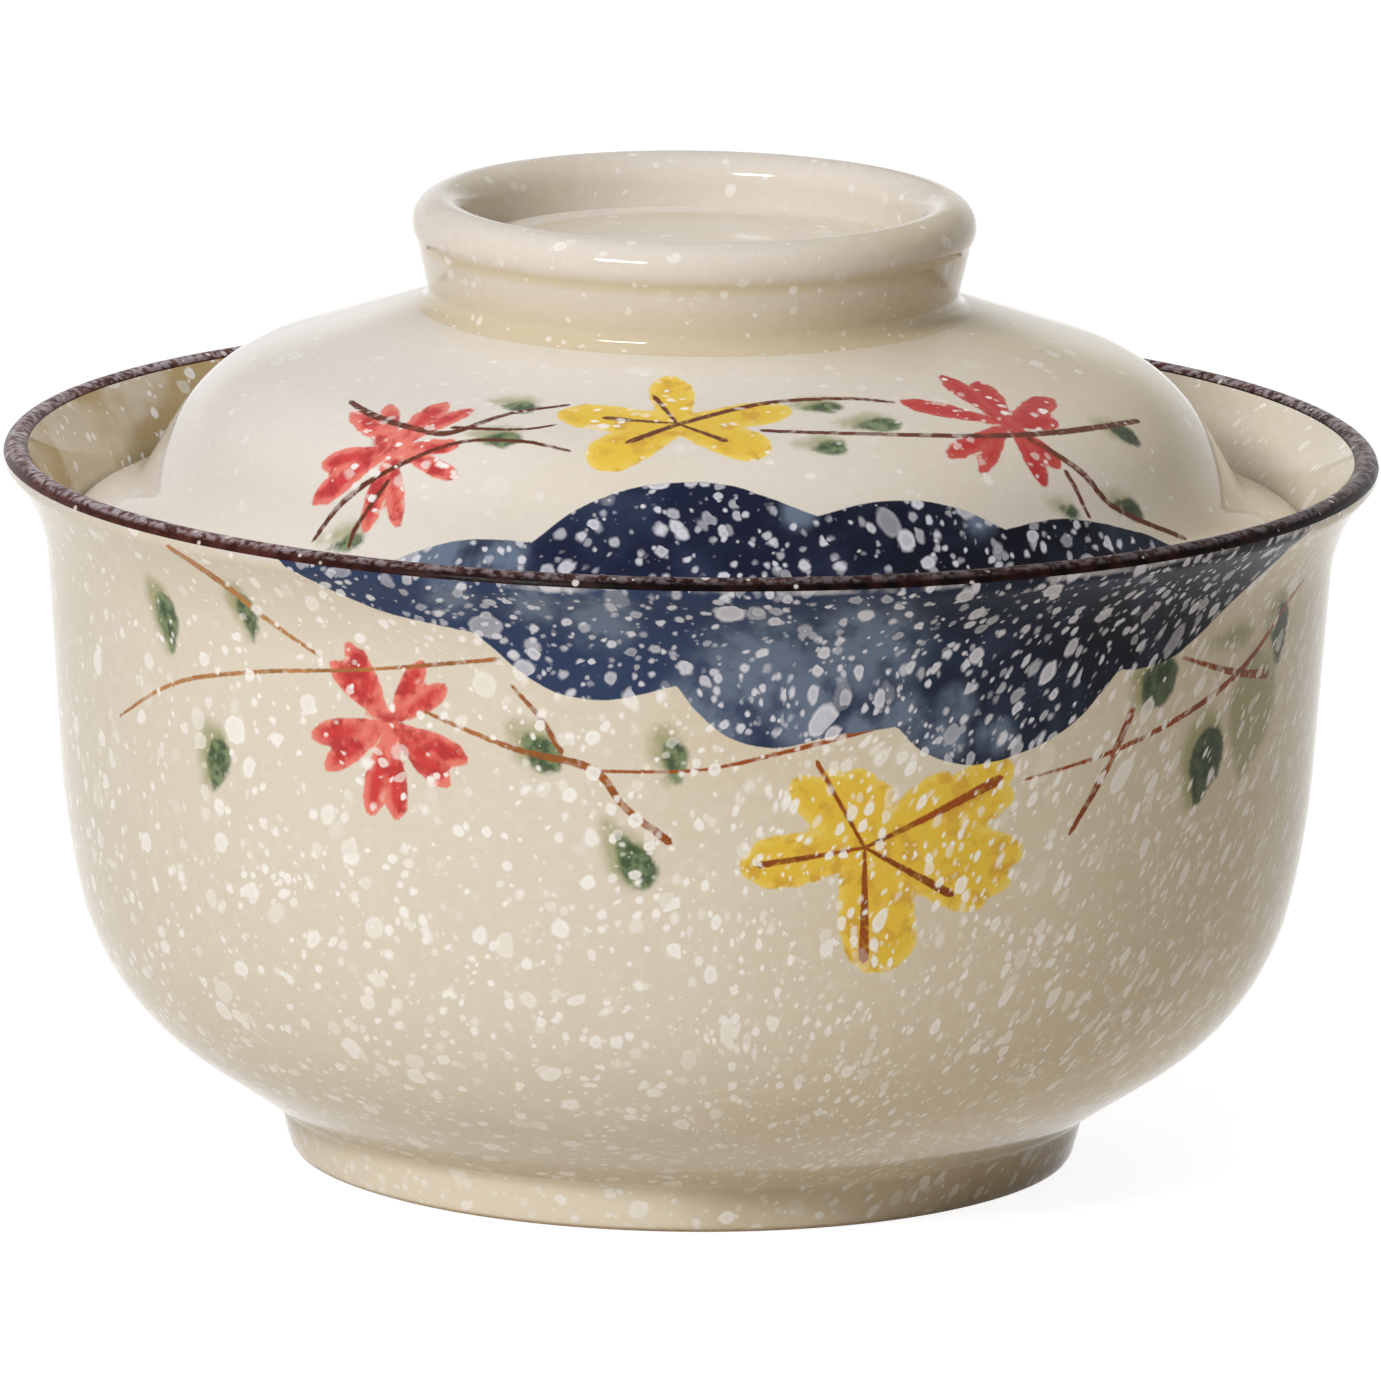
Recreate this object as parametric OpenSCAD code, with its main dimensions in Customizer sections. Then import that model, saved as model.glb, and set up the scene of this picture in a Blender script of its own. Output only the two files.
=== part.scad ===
// A donburi bowl with its lid, in glazed stoneware.
// The bowl stands on a foot ring and has an iron-brown coat on its flared lip.
// The lid is a saucer turned upside down: its brim drops into the flare, and a ring on its crown lifts it.
// Lengths are in millimetres. The origin is the middle of the foot's ground face, and +Z is up.
// Every piece is turned about Z, so a profile is a list of points [radius, height].

/* [Bowl] */
// Outer diameter of the rim
rim_d = 160; // [150:0.5:176]
// Height from the ground to the top of the lip
bowl_h = 83.5; // [74:0.1:100]
// Thickness of the bowl's wall
wall_t = 3; // [2.4:0.1:4]
// Thickness of the floor above the foot's recess
floor_t = 5.5; // [4:0.1:8]
// Radius between the floor and the underside inside the bowl
floor_r = 20; // [10:0.5:26]
// Slope of the underside from level
under_slope = 33.6; // [28:0.1:38]
// Radius of the belly below the side
belly_r = 30; // [24:0.5:36]
// Slope where the belly meets the side
belly_slope = 77; // [72:0.5:80]
// Radius of the gently bowed side
side_r = 102; // [80:1:130]
// Slope of the straight wall under the flare
wall_slope = 86; // [83:0.5:88]
// Radius of the flare under the lip
flare_r = 18; // [14:0.5:24]
// Slope of the wall at the lip
lip_slope = 46.7; // [40:0.1:60]

/* [Lip coat] */
// Thickness of the iron-brown coat
coat_t = 0.4; // [0.2:0.05:0.6]
// How far the coat reaches below the lip's widest line outside, as an angle round the lip, or above if under 0
coat_out_turn = -8; // [-20:1:40]
// How far the coat reaches down the inside of the flare, as an angle round the flare
coat_in_turn = 1; // [1:0.5:12]

/* [Foot ring] */
// Outer diameter of the foot at the ground
foot_d = 91.4; // [84:0.1:98]
// Width of the foot ring at the ground
foot_w = 5.2; // [4:0.1:8]
// Height of the foot where its outside meets the underside
foot_h = 5.7; // [5:0.1:8]
// Slope of the foot's outside
foot_slope = 75; // [68:0.5:85]
// Radius between the foot's outside and the underside
foot_fillet_r = 2; // [1:0.1:3]
// Radius of the foot's ground edges
foot_edge_r = 1; // [0.4:0.1:1.5]
// How far the base reaches down inside the foot ring
base_drop = 0.9; // [0.4:0.1:1.4]

/* [Lid] */
// Thickness of the lid's wall
lid_t = 3; // [2.4:0.1:4]
// Gap between the lid's brim and the flare that it rests in
seat_gap = 0.3; // [0.2:0.05:0.6]
// How far up the flare the brim rests, as a share of the flare's turn
seat_turn_share = 0.22; // [0.15:0.01:0.5]
// Slope of the brim from level
brim_slope = 26; // [18:1:34]
// Width of the brim along its slope
brim_w = 5.6; // [3:0.1:8]
// Radius between the brim and the side
brim_fillet_r = 5.6; // [3:0.1:8]
// Slope of the lid's side
side_lean = 59.5; // [52:0.5:68]
// Length of the lid's side along its slope
side_len = 7.1; // [5:0.1:12]
// Radius of the shoulder between the side and the crown
shoulder_r = 19; // [14:0.5:24]
// Slope of the crown
crown_slope = 18.5; // [17:0.5:24]
// Height of the raised floor inside the ring, above the ring's outer edge
boss_h = 6.8; // [5:0.1:9]
// Thickness of that floor
crown_t = 5; // [4:0.1:6.5]

/* [Lid ring] */
// Outer diameter of the ring at its lip
ring_d = 65.6; // [58:0.1:72]
// Height of the ring above its outer edge on the crown
ring_h = 12.9; // [11:0.1:17]
// Radius of the ring's rounded lip
ring_lip_r = 3.2; // [2.4:0.1:3.8]
// How far round the lip its crease lies below the widest line, as an angle
ring_crease_turn = 35; // [20:1:50]
// Diameter of the waist above the seat
ring_waist_d = 61.8; // [56:0.1:64]
// Radius at the foot of the waist
ring_fillet_r = 2; // [1:0.1:3]

/* [Hidden] */
$fn = 180;
arc_steps = 12;
same_point = wall_t / 10000;
glaze_colour = [0.80, 0.75, 0.66];
lid_colour = [0.86, 0.82, 0.74];
foot_colour = [0.72, 0.66, 0.57];
iron_colour = [0.20, 0.10, 0.08];

// Unit step in the direction of an angle from level
function step(a) = [cos(a), sin(a)];
// Outward normal of a lid face that falls outward at a slope
function up_from(slope) = step(90 - slope);
// Points of an arc round a centre
function arc(centre, radius, start, end) =
    [for (i = [0:arc_steps]) centre + radius * step(start + (end - start) * i / arc_steps)];
function backwards(points) = [for (i = [len(points) - 1:-1:0]) points[i]];
// The points without those that repeat the one before, where two stretches meet
function outline(points) =
    [for (i = [0:len(points) - 1]) if (i == 0 || norm(points[i] - points[i - 1]) > same_point) points[i]];

// Foot: its outside leans out from the ground to the joint with the underside
foot_r = foot_d / 2;
foot_in_r = foot_r - foot_w;
foot_joint = [foot_r + foot_h / tan(foot_slope), foot_h];
foot_fillet_run = foot_fillet_r * tan((foot_slope - under_slope) / 2);
foot_fillet_c = foot_joint - foot_fillet_run * step(foot_slope) + foot_fillet_r * step(foot_slope - 90);
foot_edge_run = foot_edge_r * tan(foot_slope / 2);
base_z = foot_h - base_drop;
base_corner = foot_joint - base_drop / sin(under_slope) * step(under_slope);

// Bowl wall: underside, belly, side, straight wall, flare and lip follow each other smoothly.
// The lengths of the underside and of the straight wall close the way from the foot to the lip.
// The underside reaches up to the floor's level at least, and the belly's radius is limited by that.
lip_r = wall_t / 2;
lip_c = [rim_d / 2 - lip_r, bowl_h - lip_r];
floor_z = base_z + floor_t;
side_move = side_r * (step(belly_slope + 90) + step(wall_slope - 90));
flare_move = flare_r * (step(wall_slope - 90) + step(lip_slope + 90)) + lip_r * step(lip_slope + 90);
lower_move = lip_c - foot_joint - side_move - flare_move;
turn = cross(step(under_slope), step(wall_slope));
under_min = (floor_z - foot_h) / sin(under_slope);
belly_move = step(under_slope + 90) + step(belly_slope - 90);
belly_room = cross(lower_move, step(wall_slope)) - under_min * turn;
belly_fit_r = min(belly_r, belly_room / cross(belly_move, step(wall_slope)));
open_move = lower_move - belly_fit_r * belly_move;
under_len = cross(open_move, step(wall_slope)) / turn;
belly_c = foot_joint + under_len * step(under_slope) + belly_fit_r * step(under_slope + 90);
side_c = belly_c + (side_r - belly_fit_r) * step(belly_slope + 90);
flare_c = lip_c - (flare_r + lip_r) * step(lip_slope + 90);

// The wall's face at a depth from the outside, from the underside up to an angle short of the lip
function bowl_face(depth, short_turn) = concat(
    arc(belly_c, belly_fit_r - depth, under_slope - 90, belly_slope - 90),
    arc(side_c, side_r - depth, belly_slope - 90, wall_slope - 90),
    arc(flare_c, flare_r + depth, wall_slope + 90, lip_slope + 90 + short_turn));

// Inside floor: level in the middle, with an arc up to the underside's inner face, limited by that face
inner_under = belly_c + (belly_fit_r - wall_t) * step(under_slope - 90);
floor_room = inner_under.y - floor_z;
floor_fit_r = min(floor_r, floor_room / (1 - cos(under_slope)));
floor_rise = floor_fit_r * (1 - cos(under_slope));
floor_arc_end = inner_under - (floor_room - floor_rise) / sin(under_slope) * step(under_slope);
floor_c = floor_arc_end + floor_fit_r * step(under_slope + 90);

// The coated face at a depth, from near the lip's widest line, over the top, to inside the flare
function coat_face(depth) = concat(
    arc(lip_c, lip_r - depth, -coat_out_turn, lip_slope + 90),
    arc(flare_c, flare_r + wall_t - depth, lip_slope + 90, lip_slope + 90 + coat_in_turn));

// Lid: its lip lies in the flare at the seat gap, and the rest rises from there to the ring's seat
lid_lip_r = lid_t / 2;
seat_slope = wall_slope - (wall_slope - lip_slope) * seat_turn_share;
lid_lip_c = flare_c + (flare_r + wall_t + seat_gap + lid_lip_r) * step(seat_slope + 90);
brim_top = lid_lip_c + lid_lip_r * up_from(brim_slope);
brim_end = brim_top + brim_w * step(180 - brim_slope);
brim_fillet_c = brim_end + brim_fillet_r * up_from(brim_slope);
side_top = brim_fillet_c - brim_fillet_r * up_from(side_lean) + side_len * step(180 - side_lean);
shoulder_c = side_top - shoulder_r * up_from(side_lean);
crown_edge = shoulder_c + shoulder_r * up_from(crown_slope);

// The lid's face at a depth from the outside, from the brim up to the crown
function lid_face(depth) = concat(
    arc(brim_fillet_c, brim_fillet_r + depth, -90 - brim_slope, -90 - side_lean),
    arc(shoulder_c, shoulder_r - depth, 90 - side_lean, 90 - crown_slope));

// Crown: the ring is seated on its slope, and the floor inside the ring stands above it
ring_waist_r = ring_waist_d / 2;
ring_seat_r = ring_waist_r + ring_fillet_r * (1 - sin(crown_slope));
ring_lip_c_r = ring_d / 2 - ring_lip_r;
boss_r = ring_lip_c_r - ring_lip_r;
seat_z = crown_edge.y + (crown_edge.x - ring_seat_r) * tan(crown_slope);
seat_top_z = seat_z + (ring_seat_r - boss_r) * tan(crown_slope);
ring_fillet_c = [ring_seat_r, seat_z] + ring_fillet_r * up_from(crown_slope);
boss_z = seat_z + boss_h;
ceiling_z = boss_z - crown_t;
inner_crown = shoulder_c + (shoulder_r - lid_t) * up_from(crown_slope);
ceiling_r = inner_crown.x - (ceiling_z - inner_crown.y) / tan(crown_slope);
ring_lip_c = [ring_lip_c_r, seat_z + ring_h - ring_lip_r];

module bowl_shell() {
    outside = concat([[0, base_z], base_corner], bowl_face(0, 0));
    lip = concat(arc(lip_c, lip_r, lip_slope - 90, -coat_out_turn), coat_face(coat_t));
    inside = concat(
        backwards(bowl_face(wall_t, coat_in_turn)),
        arc(floor_c, floor_fit_r, under_slope - 90, -90),
        [[0, floor_z]]);
    color(glaze_colour) rotate_extrude() polygon(outline(concat(outside, lip, inside)));
}

module foot_ring() {
    color(foot_colour)
        rotate_extrude()
            polygon(outline(concat(
                [[foot_in_r, base_z]],
                arc([foot_in_r + foot_edge_r, foot_edge_r], foot_edge_r, 180, 270),
                arc([foot_r - foot_edge_run, foot_edge_r], foot_edge_r, -90, foot_slope - 90),
                arc(foot_fillet_c, foot_fillet_r, foot_slope + 90, under_slope + 90),
                [base_corner])));
}

module rim_band() {
    color(iron_colour)
        rotate_extrude()
            polygon(outline(concat(coat_face(0), backwards(coat_face(coat_t)))));
}

module lid_shell() {
    lip = arc(lid_lip_c, lid_lip_r, 270 - brim_slope, 450 - brim_slope);
    outside = concat(lid_face(0), [[boss_r, seat_top_z], [boss_r, boss_z], [0, boss_z]]);
    inside = concat([[0, ceiling_z], [ceiling_r, ceiling_z]], backwards(lid_face(lid_t)));
    color(lid_colour) rotate_extrude() polygon(outline(concat(lip, outside, inside)));
}

module lid_ring() {
    color(lid_colour)
        rotate_extrude()
            polygon(outline(concat(
                [[boss_r, seat_top_z]],
                arc(ring_fillet_c, ring_fillet_r, 270 - crown_slope, 180),
                arc(ring_lip_c, ring_lip_r, -ring_crease_turn, 180))));
}

bowl_shell();
foot_ring();
rim_band();
lid_shell();
lid_ring();
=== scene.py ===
"""Looks of the donburi bowl with its lid: turned pieces in place of the frame's solids, and painted glazes.

Every piece is turned about Z, and its profile is read off the frame, so it has the frame's size and place.
The painting is a set of fields on the outside, numbers for each point, which the materials colour in.
In the painting, azimuths are degrees to the right of the front, and heights and lengths are millimetres.
"""
import math

import bpy
import numpy as np
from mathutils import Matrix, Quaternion, Vector


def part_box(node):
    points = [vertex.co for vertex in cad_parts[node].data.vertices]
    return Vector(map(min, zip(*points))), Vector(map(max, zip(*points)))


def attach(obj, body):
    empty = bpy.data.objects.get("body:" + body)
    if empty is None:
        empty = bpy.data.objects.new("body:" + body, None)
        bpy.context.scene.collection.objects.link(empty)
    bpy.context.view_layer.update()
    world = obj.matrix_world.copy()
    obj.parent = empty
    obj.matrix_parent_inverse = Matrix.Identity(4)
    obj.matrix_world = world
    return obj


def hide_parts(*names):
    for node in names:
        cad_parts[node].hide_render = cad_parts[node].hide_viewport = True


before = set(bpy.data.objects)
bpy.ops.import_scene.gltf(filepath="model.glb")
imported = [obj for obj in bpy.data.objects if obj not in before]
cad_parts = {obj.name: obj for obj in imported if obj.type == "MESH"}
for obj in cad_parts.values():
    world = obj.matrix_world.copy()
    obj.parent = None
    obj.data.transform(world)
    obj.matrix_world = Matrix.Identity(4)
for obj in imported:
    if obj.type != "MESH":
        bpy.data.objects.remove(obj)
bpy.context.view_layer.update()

MM = 0.001
TINY = 1e-6  # smaller lengths count as none, in millimetres
PLACE_DIGITS = 2  # decimals that the points of a profile are rounded to, in millimetres
SAME_PLACE = 0.03  # points of a profile nearer than this are one point, in millimetres
SAME_AZIMUTH = 1e-3  # an edge whose ends differ by less than this runs along the profile, in radians
AXIS_GUARD = 1e-3  # by which an edge that ends on the axis counts as one of those, in square millimetres
CORNER_TURN = 25.0  # a profile that turns more than this at a point has an edge there, in degrees
CREASE_TURN = 8.0  # so has one that turns against its neighbours by more than this
FAR = -6.0  # value of a field where nothing is painted, in millimetres
FINE_LAYERS = 6  # of fine strokes in the painting

# A flower is its middle (azimuth, height) and its petals' strokes (direction, length, half width), with
# directions in degrees from the right towards the top. A leaf is a dab (azimuth, height, direction, length,
# half width). Twigs run through points (azimuth, height, half width), and a cloud's lobes through points
# of its edge (azimuth, height). A wash is a paler spot in the cloud (azimuth, height, radius).
BOWL_PAINTING = {
    "red": (
        (-27, 63.7, ((120, 10.5, 1.6), (140, 10, 1.5), (60, 9, 1.4), (35, 9, 1.4), (-165, 11, 1.6),
                     (-144, 11, 1.5), (-20, 10.5, 1.6), (-42, 10, 1.7), (-104, 11.5, 1.7),
                     (-86, 11.5, 1.6))),
    ),
    "yellow": (
        (16, 51, ((136, 12, 2.4), (117, 10.5, 2.5), (97, 9.5, 2.5), (76, 8, 2.2), (38, 13, 2.0),
                  (25, 20, 2.8), (16, 19, 2.5), (8, 15, 2.5), (-6, 20, 2.8), (-17, 19, 2.8),
                  (-27, 17, 2.4), (-78, 15.5, 4.6), (-172, 14.5, 3.2))),
    ),
    "veins": (
        (16, 51, ((120, 12, 0.3), (23, 18, 0.65), (-172, 12.5, 0.4), (-30, 12.5, 0.55), (-88, 13.5, 0.65))),
    ),
    "leaves": (
        (-52.5, 71, 100, 6.5, 2.0), (-41.5, 74, 100, 5.5, 1.5), (-46.5, 55.5, 75, 6, 2.0),
        (-12.8, 61.8, -42, 5, 2.0), (-1, 61.5, 97, 5, 1.5), (-4.5, 49.5, -57, 6.5, 2.1),
        (46, 66.5, 53, 5.5, 2.8), (53.5, 55.5, 72, 8, 3.2), (65.5, 68.5, 90, 7, 2.2),
    ),
    "pale leaves": ((61, 60, 78, 13, 5.8), (56.5, 69.8, 0, 9, 1.6)),
    "twigs": (
        ((-48, 81, 0.65), (-43.5, 77.5, 0.6), (-39.5, 74, 0.35), (-34, 70.5, 0.2)),
        ((-62, 57.5, 0.15), (-51.5, 64, 0.25), (-40.5, 67.5, 0.25), (-30, 69.5, 0.2), (-21, 71.5, 0.25),
         (-16.5, 72.5, 0.25)),
        ((-15.5, 69.5, 0.2), (-13, 66, 0.3), (-11, 62, 0.35)),
        ((-23.5, 65.5, 0.2), (-15, 62, 0.35), (-8, 60, 0.5), (-5.5, 56, 0.4), (-1.5, 52, 0.5)),
        ((-7.5, 60, 0.2), (1.5, 60.5, 0.2), (8.5, 62.5, 0.25), (16.5, 65, 0.3)),
        ((43, 64, 0.5), (40.5, 58, 0.5), (36.5, 50.5, 0.3)),
        ((49, 69, 0.2), (57.5, 65.5, 0.45), (63.5, 64, 0.6)),
        ((31, 57.5, 0.15), (43, 60, 0.3), (58, 65.5, 0.4), (67, 72, 0.25), (72, 75, 0.15)),
    ),
    "lobes": (
        ((-36.5, 82.5), (-31, 79), (-26.5, 77), (-18.5, 75.5)),
        ((-18.5, 75.5), (-14.5, 71), (-11.5, 69), (-7.5, 68.3), (-4.5, 69), (-1, 70.3)),
        ((-1, 70.3), (1, 67), (4, 64), (7.5, 63), (13, 64.3), (18.5, 65)),
        ((18.5, 65), (21, 62), (24, 60.3), (28, 60), (35.5, 63), (41, 69)),
        ((41, 69), (44, 68.7), (48, 69.5), (54.5, 74), (60, 78.5), (63, 82.5)),
    ),
    "washes": ((0.5, 67.5, 6), (3, 64.5, 5), (10, 66, 5), (19, 66, 4.5), (23, 63, 4), (28, 63, 3.5),
               (6, 73, 10), (15, 75, 10), (-20, 80, 4.5), (-13, 80, 5), (-7.5, 78.5, 6.5), (10, 69, 5.5),
               (15, 65, 3.5), (24, 67, 3.5)),
}
LID_PAINTING = {
    "red": (
        (-37.5, 91, ((131, 10, 1.2), (155, 11.5, 1.4), (88, 10, 1.8), (64, 10.5, 1.5), (-157, 10, 1.7),
                     (-133, 12, 1.8), (-85, 11, 1.4), (-62, 11, 1.3), (14, 8, 1.4), (-15, 10.5, 1.2))),
        (44.5, 93.5, ((140, 12, 1.9), (86, 12, 1.8), (64, 10.5, 2.0), (14, 12, 1.8), (-8, 8, 1.8),
                      (-161, 12.5, 1.4), (-143, 11.5, 1.1), (-97, 10, 1.4), (-73, 8.5, 1.5))),
    ),
    "yellow": (
        (-2, 95, ((98, 11, 2.6), (175, 14, 2.9), (-137, 13, 3.4), (-30, 12.5, 3.2), (14, 13.5, 2.6))),
    ),
    "veins": (
        (-2, 95, ((115, 7, 0.35), (-34, 7, 0.4), (175, 8.5, 0.4))),
    ),
    "leaves": (
        (-25.5, 95.5, 0, 4.5, 1.3), (-24.5, 93, 8, 4.5, 1.5), (-38.5, 81, 22, 5, 1.0),
        (20, 96, 0, 4.5, 1.3), (26, 94.5, 0, 5.5, 1.6), (17.5, 93, 0, 4, 1.4),
        (62.5, 90.5, -43, 4.5, 1.6), (45.5, 84.5, -30, 3, 0.9), (55, 83.5, -27, 4.5, 1.3),
    ),
    "pale leaves": (),
    "twigs": (
        ((-51.5, 94, 0.35), (-46, 93.5, 0.5), (-37, 93, 0.45), (-32, 93, 0.5), (-26, 95, 0.35),
         (-18.5, 96, 0.25)),
        ((-32, 93.5, 0.35), (-22, 94, 0.25), (-18.5, 94.5, 0.2)),
        ((-43, 80.5, 0.25), (-41, 85, 0.4), (-35, 90, 0.35), (-29, 92.5, 0.3), (-21, 93, 0.3),
         (-15, 92.5, 0.2)),
        ((-36, 88, 0.3), (-38, 82.5, 0.3), (-38, 80.5, 0.2)),
        ((-8, 93.5, 0.45), (-1.5, 95, 0.4), (11.5, 96.5, 0.4), (25.5, 96.5, 0.35), (31.5, 96, 0.3)),
        ((9.5, 94.5, 0.35), (22, 94, 0.4), (44, 92.5, 0.45), (61, 91.5, 0.45), (68, 91, 0.35)),
        ((45.5, 92, 0.4), (50, 88, 0.5), (52, 84.5, 0.4), (62.5, 79, 0.35)),
        ((47.5, 88.5, 0.35), (48, 83.5, 0.25)),
    ),
    "lobes": (
        ((-46, 71), (-40, 76), (-33, 79.5), (-27, 82.3), (-22, 83.3), (-17, 83.3)),
        ((-17, 83.3), (-13, 86.7), (-8, 89), (-2, 90), (5, 89.7), (14, 86.6)),
        ((14, 86.6), (18.5, 87.5), (25, 87.7), (30, 86.7), (36, 83.7)),
        ((36, 83.7), (39.5, 84), (45, 83.8), (56, 80.5), (60.5, 78), (66, 74.5), (70, 71)),
    ),
    "washes": ((-27, 81, 6.2), (-20, 82, 4.5), (12, 87, 3), (33, 85, 3)),
}


def add_object(name, data):
    """A new object in the scene."""
    item = bpy.data.objects.new(name, data)
    bpy.context.scene.collection.objects.link(item)
    return item


# Profiles of the frame's solids

def edge_ends(mesh):
    """The numbers of the two points that each edge of a mesh joins."""
    ends = np.empty(len(mesh.edges) * 2, np.int32)
    mesh.edges.foreach_get("vertices", ends)
    return ends.reshape(-1, 2)


def profile_of(node):
    """The node's profile as points [radius, height] in order, and whether it closes off the axis."""
    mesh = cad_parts[node].data
    co = np.empty(len(mesh.vertices) * 3)
    mesh.vertices.foreach_get("co", co)
    co = co.reshape(-1, 3) / MM
    ends = edge_ends(mesh)
    flat = np.round(np.c_[np.hypot(co[:, 0], co[:, 1]), co[:, 2]], PLACE_DIGITS)
    places, index = np.unique(flat, axis=0, return_inverse=True)
    same = np.abs(places[:, None] - places).max(axis=2) < SAME_PLACE
    index = same.argmax(axis=1)[index.ravel()]
    first, second = co[ends[:, 0]], co[ends[:, 1]]
    cross = first[:, 0] * second[:, 1] - first[:, 1] * second[:, 0]
    dot = first[:, 0] * second[:, 0] + first[:, 1] * second[:, 1]
    along = (np.abs(cross) < SAME_AZIMUTH * np.maximum(dot, AXIS_GUARD)) & (dot > -TINY)
    near = {}
    for a, b in index[ends][along].tolist():
        if a != b:
            near.setdefault(a, set()).add(b)
            near.setdefault(b, set()).add(a)
    loose = [p for p in near if len(near[p]) == 1]
    path = [min(loose or near, key=lambda p: (places[p][1], places[p][0]))]
    while len(path) < len(near):
        steps = [p for p in near[path[-1]] if p not in path]
        if not steps:
            level = places[path[-1]][1]
            steps = [p for p in loose if p not in path and abs(places[p][1] - level) < SAME_PLACE]
        path.append(steps[0])
    points = places[path]
    closed = not loose or abs(points[0][1] - points[-1][1]) < SAME_PLACE
    if not closed:
        points = np.vstack([[0, points[0][1]], points, [0, points[-1][1]]])
    x, y = points.T
    if np.sum(x * np.roll(y, -1) - y * np.roll(x, -1)) < 0:
        points = points[::-1]
    return points, closed


def edges_of(points, closed):
    """True at the points of a profile that are edges."""
    before = points - np.roll(points, 1, axis=0)
    after = np.roll(points, -1, axis=0) - points
    turn = np.degrees(np.arctan2(after[:, 1], after[:, 0]) - np.arctan2(before[:, 1], before[:, 0]))
    turn = (turn + 180) % 360 - 180
    against = (turn * np.roll(turn, 1) < 0) & (turn * np.roll(turn, -1) < 0) & (np.abs(turn) > CREASE_TURN)
    edge = (np.abs(turn) > CORNER_TURN) | against
    if not closed:
        edge[[0, -1]] = True
    return edge


def blend(t, start, end, first, second):
    """The first at a start and the second at an end, and straight between them."""
    return (end - t) / (end - start) * first + (t - start) / (end - start) * second


def smooth_curve(points, per_step=8):
    """A curve through the points. Short steps weigh more in its tangents, so that it doesn't swing."""
    points = np.asarray(points, float)
    padded = np.vstack([2 * points[0] - points[1], points, 2 * points[-1] - points[-2]])
    knots = np.r_[0, np.cumsum(np.sqrt(np.linalg.norm(np.diff(padded, axis=0), axis=1)))]
    pieces = []
    for i in range(1, len(padded) - 2):
        t0, t1, t2, t3 = knots[i - 1:i + 3]
        p0, p1, p2, p3 = padded[i - 1:i + 3]
        t = np.linspace(t1, t2, per_step, endpoint=False)[:, None]
        a1, a2, a3 = blend(t, t0, t1, p0, p1), blend(t, t1, t2, p1, p2), blend(t, t2, t3, p2, p3)
        b1, b2 = blend(t, t0, t2, a1, a2), blend(t, t1, t3, a2, a3)
        pieces.append(blend(t, t1, t2, b1, b2))
    return np.vstack(pieces + [points[-1:]])


def resample(curve, spacing):
    """The curve in even steps of about a spacing, one number or one for each step of the curve."""
    steps = np.linalg.norm(np.diff(curve, axis=0), axis=1)
    length = np.r_[0, np.cumsum(steps)]
    count = np.r_[0, np.cumsum(steps / spacing)]
    at = np.interp(np.linspace(0, count[-1], max(1, round(count[-1])) + 1), count, length)
    return np.stack([np.interp(at, length, curve[:, k]) for k in range(curve.shape[1])], axis=1)


def normals_of(steps):
    """The directions that face out of a profile beside its steps."""
    return np.c_[steps[:, 1], -steps[:, 0]] / np.maximum(np.linalg.norm(steps, axis=1), TINY)[:, None]


def rings_of(node, spacing):
    """The node's profile with its curves smooth, as rings [radius, height], and which of them are edges.

    The spacing is a function of places on the profile and the directions that it faces there.
    """
    points, closed = profile_of(node)
    edge = edges_of(points, closed)
    if closed:
        shift = int(np.argmax(edge))
        points, edge = np.roll(points, -shift, axis=0), np.roll(edge, -shift)
        points, edge = np.vstack([points, points[:1]]), np.r_[edge, edge[:1]]
    stops = edge.copy()
    stops[[0, -1]] = True
    places = np.flatnonzero(stops)
    rings, sharp = [], []
    for a, b in zip(places[:-1], places[1:]):
        curve = smooth_curve(points[a:b + 1])
        part = resample(curve, spacing(curve[:-1], normals_of(np.diff(curve, axis=0))))[:-1]
        rings.append(part)
        sharp += [bool(edge[a])] + [False] * (len(part) - 1)
    if not closed:
        rings.append(points[-1:])
        sharp.append(True)
    return np.clip(np.vstack(rings), 0, points.max(axis=0)), np.array(sharp), closed


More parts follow.
